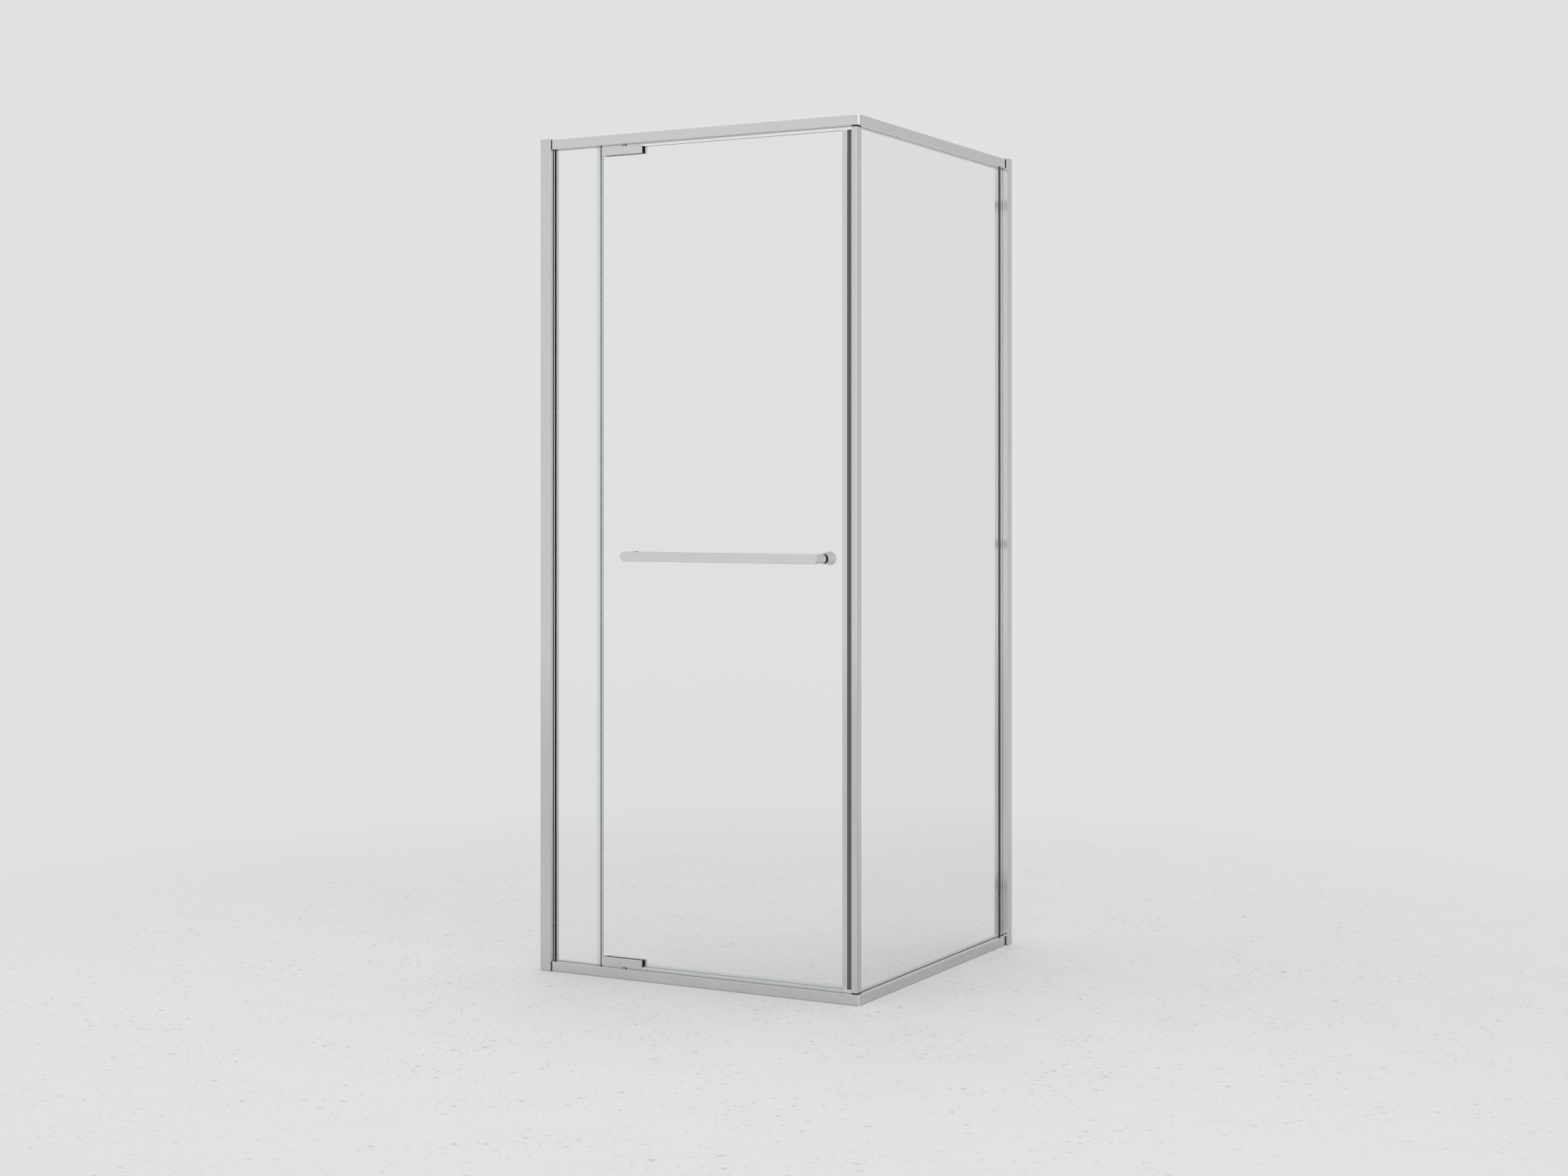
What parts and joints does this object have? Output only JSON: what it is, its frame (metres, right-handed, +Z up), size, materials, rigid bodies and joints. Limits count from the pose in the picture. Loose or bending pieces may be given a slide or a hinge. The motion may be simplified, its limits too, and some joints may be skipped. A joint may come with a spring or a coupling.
{
  "type": "corner shower enclosure",
  "caption": "Framed corner shower enclosure of clear glass: a pivot door beside a narrow fixed panel, a fixed return panel, sill and top rails, wall jambs and a flat bar handle.",
  "frame": {"origin": "middle of the footprint box, on the floor under the sill rails", "axes": "+Z up; +Y from the door front towards the wall that holds the return panel; +X from the infill panel towards the return panel"},
  "size_m": [0.861, 0.891, 2],
  "materials": {
    "bright_aluminium": "bright polished and clear anodised",
    "chrome": "polished chrome plate",
    "clear_glass": "clear toughened glass with polished edges",
    "black_rubber": "matt black gasket",
    "clear_vinyl": "clear flexible seal",
    "grey_nylon": "moulded nylon",
    "magnet_strip": "dark magnetic strip in a flexible sleeve",
    "steel": "turned stainless steel"
  },
  "bodies": {
    "frame": {"wall_jamb_front": "bright_aluminium", "wall_jamb_return": "bright_aluminium", "sill_rail_front": "bright_aluminium", "sill_rail_return": "bright_aluminium", "top_rail_front": "bright_aluminium", "top_rail_return": "bright_aluminium", "corner_post": "bright_aluminium", "sill_pocket_cover": "bright_aluminium", "top_pocket_cover": "bright_aluminium", "post_foot": "black_rubber", "post_head": "black_rubber", "post_glazing_strip": "clear_vinyl", "post_magnet": "magnet_strip", "corner_key_sill": "grey_nylon", "corner_key_top": "grey_nylon", "sill_end_plug_front": "black_rubber", "sill_end_plug_return": "black_rubber", "top_end_plug_front": "black_rubber", "top_end_plug_return": "black_rubber", "infill_glass": "clear_glass", "return_glass": "clear_glass", "infill_edge_seal": "clear_vinyl", "sill_glazing_channel_front": "black_rubber", "sill_glazing_channel_return": "black_rubber", "top_glazing_channel_front": "black_rubber", "top_glazing_channel_return": "black_rubber", "jamb_glazing_channel_front": "black_rubber", "jamb_glazing_channel_return": "black_rubber", "pivot_bush_bottom": "steel", "pivot_bush_top": "steel"},
    "door": {"door_glass": "clear_glass", "door_stile": "chrome", "door_magnet": "magnet_strip", "door_drip_seal": "clear_vinyl", "hinge_bottom_outer_plate": "chrome", "hinge_bottom_inner_plate": "chrome", "hinge_bottom_outer_gasket": "black_rubber", "hinge_bottom_inner_gasket": "grey_nylon", "hinge_bottom_screw_left": "steel", "hinge_bottom_screw_right": "steel", "hinge_top_outer_plate": "chrome", "hinge_top_inner_plate": "chrome", "hinge_top_outer_gasket": "black_rubber", "hinge_top_inner_gasket": "grey_nylon", "hinge_top_screw_left": "steel", "hinge_top_screw_right": "steel", "pivot_pin_bottom": "steel", "pivot_pin_top": "steel", "handle_bar": "chrome", "handle_post_left": "chrome", "handle_post_right": "chrome", "handle_stud_left": "steel", "handle_stud_right": "steel", "handle_outer_washer_left": "black_rubber", "handle_outer_washer_right": "black_rubber", "handle_inner_washer_left": "black_rubber", "handle_inner_washer_right": "black_rubber", "handle_inner_cap": "chrome", "handle_inner_knob": "chrome"}
  },
  "joints": [
    {"name": "door_pivot", "type": "hinge", "parent": "frame", "child": "door", "pos_m": [-0.2055, -0.3935, 0.025], "axis": [0, 0, -1], "range_deg": [0, 100]}
  ]
}
